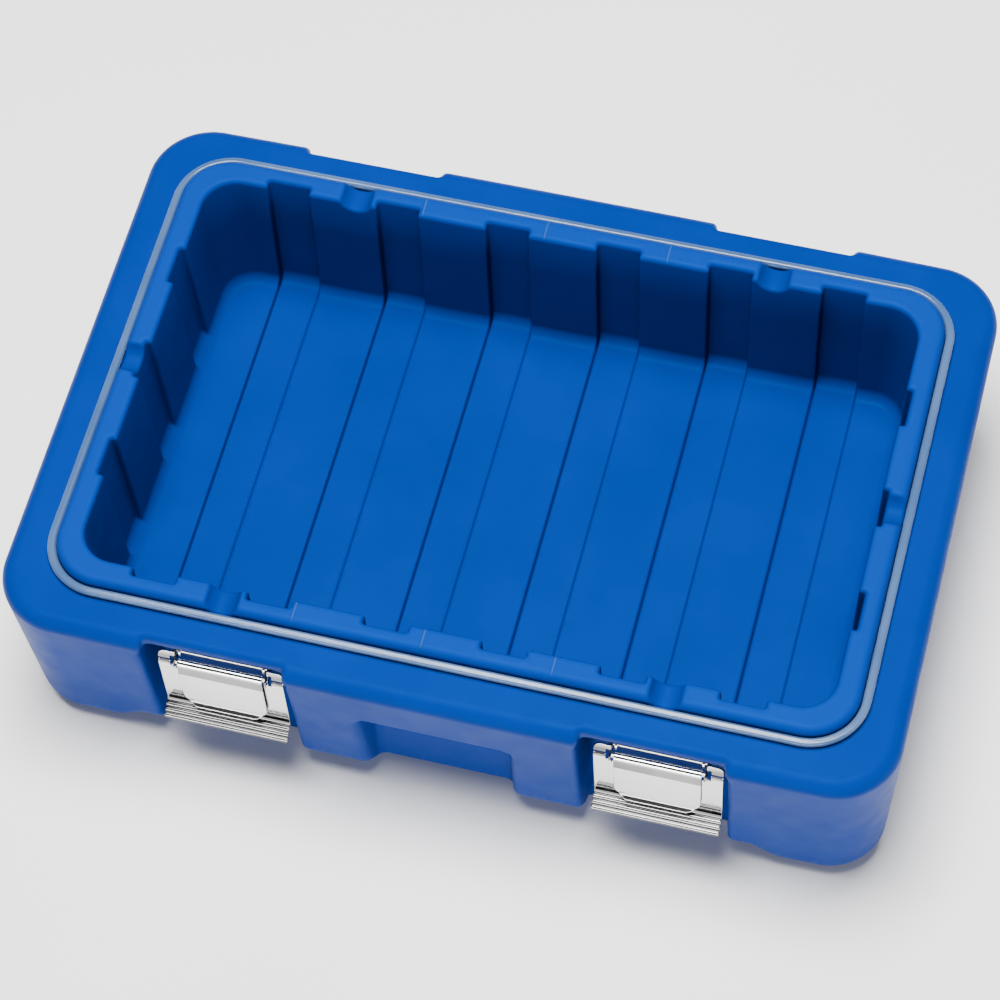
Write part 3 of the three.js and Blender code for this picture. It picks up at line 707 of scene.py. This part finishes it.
def silicone():
    """Pale bead, slightly see-through."""
    material, shader, where = node_material("silicone_finish")
    link = material.node_tree.links.new
    tone = noise(material, where, 18, 1)
    link(ramp(material, tone, (0.045, 0.10, 0.235), (0.065, 0.13, 0.28)), shader.inputs["Base Color"])
    link(ramp(material, noise(material, where, 30, 1), 0.14, 0.22), shader.inputs["Roughness"])
    shader.inputs["Transmission Weight"].default_value = 0.2
    shader.inputs["IOR"].default_value = 1.41
    shader.inputs["Sheen Weight"].default_value = 0.35
    shader.inputs["Sheen Roughness"].default_value = 0.3
    shader.inputs["Coat Weight"].default_value = 0.12
    shader.inputs["Coat Roughness"].default_value = 0.12
    return material


def steel(name, shade_band=None, shaded_ribs=False):
    """Polished stainless, with painted shade on a strip between two heights, and painted shade between a
    grip's ridges and in the hollow just above them.
    """
    material, shader, where = node_material(name)
    link = material.node_tree.links.new
    shader.inputs["Metallic"].default_value = 1.0
    grain = noise(material, where, 900, 4, (0.04, 1.0, 1.0))
    colour = ramp(material, grain, (0.67, 0.665, 0.66), (0.75, 0.745, 0.74))
    _, y, z = split(material, where)
    # Painted shade: the strip between the two heights is darkened where the sheet leans, standing in for
    # its dimmer reflection.
    if shade_band:
        low, high = shade_band
        shade = ramp(material, noise(material, where, 26, 1), 0.80, 0.97)
        bottom = ramp(material, z, 0.0, 1.0, low - 0.0004, low + 0.0004)
        top = ramp(material, z, 1.0, 0.0, high - 0.004, high)
        colour = blend(material, product(material, shade, bottom, top), colour, (0.135, 0.135, 0.138))
    # Painted shade: dark lines between the grip's ridges and a darker hollow just above the first one.
    if shaded_ribs:
        out = calc(material, "ADD", calc(material, "ABSOLUTE", y), GRIP_START[0] * MM)
        down = calc(material, "SUBTRACT", GRIP_START[1] * MM, z)
        out = product(material, out, math.sin(GRIP_TURN))
        down = product(material, down, math.cos(GRIP_TURN))
        valley_shade = lines(material, calc(material, "ADD", out, down), RIDGE_PITCH * MM, 0.0012, 0.0022)
        valley_shade = product(material, valley_shade, ramp(material, z, 0.92, 0.0, 0.0795, 0.0815))
        cove_shade = ramp(material, z, 0.85, 0.0, 0.080, 0.096)
        above = ramp(material, z, 0.0, 1.0, 0.0790, 0.0800)
        rib_shade = calc(material, "MAXIMUM", valley_shade, product(material, cove_shade, above))
        colour = blend(material, rib_shade, colour, (0.03, 0.03, 0.032))
    link(colour, shader.inputs["Base Color"])
    link(ramp(material, grain, 0.09, 0.15), shader.inputs["Roughness"])
    link(bump(material, grain, 0.015, 0.00005), shader.inputs["Normal"])
    return material


def foam():
    """Cream closed-cell foam."""
    material, shader, where = node_material("foam_finish")
    link = material.node_tree.links.new
    cells = noise(material, where, 700, 4)
    link(ramp(material, cells, (0.68, 0.58, 0.34), (0.86, 0.78, 0.55)), shader.inputs["Base Color"])
    shader.inputs["Roughness"].default_value = 0.9
    link(bump(material, cells, 0.6, 0.0006), shader.inputs["Normal"])
    return material


def plug_plastic():
    """Black moulded plastic."""
    material, shader, where = node_material("plug_finish")
    link = material.node_tree.links.new
    grain = noise(material, where, 900, 3)
    link(ramp(material, grain, (0.012, 0.012, 0.014), (0.025, 0.025, 0.028)), shader.inputs["Base Color"])
    link(ramp(material, grain, 0.45, 0.62), shader.inputs["Roughness"])
    link(bump(material, grain, 0.3, 0.0002), shader.inputs["Normal"])
    return material


BLUE = polyethylene()
CLEAR = silicone()
STEEL = steel("stainless_finish")
HOOK_STEEL = steel("stainless_hook_painted_shade", (0.131, 0.1435))
HANDLE_STEEL = steel("stainless_handle_painted_shade", (0.139, 0.1505), True)
FOAM = foam()
BLACK = plug_plastic()


def dressed(obj, material, slot_name, body, *nodes):
    """Gives a piece its finish, the body it moves with and the nodes it stands for."""
    obj.data.materials.clear()
    obj.data.materials.append(material)
    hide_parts(*nodes)
    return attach(obj, body)


# ---------------------------------------------------------------- pieces

body_low, body_high = (-340, -234, -1.5 * BODY_STEP), (340, 234, 187)
body_source = field_mesh("body", carrier, body_low, body_high, BODY_STEP, 0.36, True)
dressed(placed("moulded_body", body_source), BLUE, "blue_polyethylene", "body", "body_shell")


def gasket_source():
    """Bead of silicone round the lip, its underside pressed flat on the flange."""
    path = []
    for n, (sx, sy) in enumerate(((1, 1), (-1, 1), (-1, -1), (1, -1))):
        middle = (sx * (BEAD_HALF[0] - BEAD_CORNER), sy * (BEAD_HALF[1] - BEAD_CORNER))
        for a in np.radians(np.linspace(0, 90, 25)) + n * math.pi / 2:
            out = (math.cos(a), math.sin(a))
            path.append((middle[0] + BEAD_CORNER * out[0], middle[1] + BEAD_CORNER * out[1], *out))
    rings = []
    for n, here in enumerate(path):
        after = path[(n + 1) % len(path)]
        length = math.hypot(after[0] - here[0], after[1] - here[1])
        steps = max(1, int(length / 12))
        for i in range(steps):
            share = i / steps
            rings.append([here[m] + (after[m] - here[m]) * share for m in range(4)])
    sides = 48
    points, normals, faces = [], [], []
    for x, y, out_x, out_y in rings:
        for i in range(sides):
            a = 2 * math.pi * i / sides
            from_groove = a - BEAD_GROOVE_AT
            dip = BEAD_GROOVE * math.exp(-((from_groove / BEAD_GROOVE_WIDTH) ** 2))
            reach = BEAD_RADIUS - dip
            across, height = reach * math.cos(a), max(reach * math.sin(a), -BEAD_RADIUS * 0.96)
            points.append((x + out_x * across, y + out_y * across, FLANGE_Z + 0.3 + BEAD_RADIUS + height))
            lean = a - math.atan(2 * dip * from_groove / BEAD_GROOVE_WIDTH**2 / reach)
            normals.append((out_x * math.cos(lean), out_y * math.cos(lean), math.sin(lean)))
    for n in range(len(rings)):
        m = (n + 1) % len(rings)
        for i in range(sides):
            j = (i + 1) % sides
            faces.append((n * sides + i, m * sides + i, m * sides + j, n * sides + j))
    mesh = bpy.data.meshes.new("bead")
    mesh.from_pydata(points, [], faces)
    return mesh, np.array(points), np.array(normals)


dressed(placed("gasket_bead", gasket_source()), CLEAR, "silicone", "body", "lid_gasket")

plug_head = [(16.5, 0.0), (18.0, 0.25), (18.8, 0.9), (19.0, 1.6), (19.0, 2.5)]
plug_stem = [(13.7, 2.5), (13.2, 14.5), (11.2, 14.5)]
for word, x in (("left", -PLUG_X), ("right", PLUG_X)):
    plug = placed(f"plug_{word}", lathe(plug_head + plug_stem, 64), shift=(x, 0, 13.7))
    dressed(plug, BLACK, "plug_plastic", "body", f"foam_plug_{word}")

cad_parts["foam_core"].data.materials.clear()
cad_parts["foam_core"].data.materials.append(FOAM)

handle_source = field_mesh("handle", handle, (-50, -238, 68), (50, -207, 152), LATCH_STEP, 0.55)
hook_source = field_mesh("hook", hook, (-34, -231, 84), (34, -217, 147), LATCH_STEP, 0.3)
bracket_source = field_mesh("bracket", bracket, (-35, -220, 106), (35, -187, 152), LATCH_STEP, 0.3)
hinge_pin_source = moved(pin_shape(2.0, 35.9, 3.0, 1.2), (0, *HINGE))
hook_pin_source = moved(pin_shape(1.5, 35.75, 0, 0), (0, *PIVOT))
rivet_source = rivet_shape()


def add_latch(corner, x, rear):
    """One latch with its rivets. The rear ones are turned half round."""
    parts = [
        ("bracket", bracket_source, STEEL, "body", "latch_bracket"),
        ("hinge_rod", hinge_pin_source, STEEL, "body", "hinge_pin"),
        ("handle_plate", handle_source, HANDLE_STEEL, "handle_" + corner, "latch_handle"),
        ("hook_rod", hook_pin_source, STEEL, "handle_" + corner, "hook_pin"),
        ("hook_plate", hook_source, HOOK_STEEL, "hook_" + corner, "latch_hook"),
    ]
    for word, source, material, body, node in parts:
        piece = placed(f"{word}_{corner}", source, rear, (x, 0, 0))
        dressed(piece, material, "stainless_steel", body, f"{node}_{corner}")
    number = 0
    for dx in (-20, 20):
        for dz in (-13, 13):
            number += 1
            source = moved(rivet_source, (dx, -181.6, 129 + dz))
            piece = placed(f"rivet_head_{corner}_{number}", source, rear, (x, 0, 0))
            dressed(piece, STEEL, "stainless_steel", "body", f"rivet_{corner}_{number}")


for corner, x, rear in (
    ("front_left", LATCH_SHIFT - LATCH_X, False),
    ("front_right", LATCH_SHIFT + LATCH_X, False),
    ("rear_left", LATCH_SHIFT - LATCH_X, True),
    ("rear_right", LATCH_SHIFT + LATCH_X, True),
):
    add_latch(corner, x, rear)


# ---------------------------------------------------------------- floor, light and camera


def floor():
    """Pale floor that glows far away, so that low views have no dark horizon."""
    mesh = bpy.data.meshes.new("floor")
    reach = 12.0
    corners = [(-reach, -reach, 0), (reach, -reach, 0), (reach, reach, 0), (-reach, reach, 0)]
    mesh.from_pydata(corners, [], [(0, 1, 2, 3)])
    obj = bpy.data.objects.new("floor", mesh)
    obj.location.z = -0.0005
    bpy.context.scene.collection.objects.link(obj)
    material, shader, where = node_material("floor_finish")
    colour = ramp(material, noise(material, where, 3, 2), (0.93, 0.93, 0.93), (0.95, 0.95, 0.95))
    material.node_tree.links.new(colour, shader.inputs["Base Color"])
    shader.inputs["Roughness"].default_value = 0.9
    away = material.node_tree.nodes.new("ShaderNodeVectorMath")
    away.operation = "LENGTH"
    material.node_tree.links.new(where, away.inputs[0])
    glow = ramp(material, away.outputs["Value"], 0.0, 2.2, 1.6, 5.0)
    shader.inputs["Emission Color"].default_value = (1, 1, 1, 1)
    material.node_tree.links.new(glow, shader.inputs["Emission Strength"])
    obj.data.materials.append(material)


def softbox(name, place, target, size, power):
    """Rectangular area light that faces its target."""
    light = bpy.data.lights.new(name, "AREA")
    light.shape = "RECTANGLE"
    light.size, light.size_y = size
    light.energy = power
    obj = bpy.data.objects.new(name, light)
    obj.location = place
    obj.rotation_mode = "QUATERNION"
    obj.rotation_quaternion = (Vector(target) - Vector(place)).to_track_quat("-Z", "Y")
    bpy.context.scene.collection.objects.link(obj)


floor()
softbox("overhead", (-0.1, 0.05, 2.8), (0, 0, 0.1), (1.7, 1.4), 262)
softbox("front", (0.4, -3.0, 0.3), (0, 0, 0.1), (3.2, 0.5), 75)
softbox("right", (3.0, -0.4, 0.3), (0, 0, 0.1), (2.0, 0.5), 30)


def studio_world():
    """Dim sky for the lighting, with a pale backdrop behind the floor."""
    world = bpy.data.worlds.new("studio")
    bpy.context.scene.world = world
    world.use_nodes = True
    tree = world.node_tree
    sky = tree.nodes["Background"]
    sky.inputs["Color"].default_value = (0.95, 0.97, 1.0, 1)
    sky.inputs["Strength"].default_value = 0.07
    backdrop = tree.nodes.new("ShaderNodeBackground")
    backdrop.inputs["Color"].default_value = (1, 1, 1, 1)
    backdrop.inputs["Strength"].default_value = 2.3
    path = tree.nodes.new("ShaderNodeLightPath")
    mix = tree.nodes.new("ShaderNodeMixShader")
    tree.links.new(path.outputs["Is Camera Ray"], mix.inputs["Fac"])
    tree.links.new(sky.outputs["Background"], mix.inputs[1])
    tree.links.new(backdrop.outputs["Background"], mix.inputs[2])
    tree.links.new(mix.outputs["Shader"], tree.nodes["World Output"].inputs["Surface"])


studio_world()


def camera():
    """Camera at the photograph's viewpoint."""
    azimuth, elevation, roll = (math.radians(a) for a in (18.594, 59.957, -4.729))
    target = Vector((0.0084, -0.0513, 0.170))
    back = Vector(
        (
            math.cos(elevation) * math.sin(azimuth),
            -math.cos(elevation) * math.cos(azimuth),
            math.sin(elevation),
        )
    )
    right = Vector((math.cos(azimuth), math.sin(azimuth), 0))
    up = back.cross(right)
    across = right * math.cos(roll) + up * math.sin(roll)
    upright = up * math.cos(roll) - right * math.sin(roll)
    data = bpy.data.cameras.new("camera")
    data.lens = 125.2
    data.sensor_width = 36
    data.clip_start, data.clip_end = 0.1, 50
    obj = bpy.data.objects.new("camera", data)
    turn = Matrix((across, upright, back)).transposed().to_4x4()
    obj.matrix_world = Matrix.Translation(target + back * 2.5605) @ turn
    bpy.context.scene.collection.objects.link(obj)
    bpy.context.scene.camera = obj


camera()
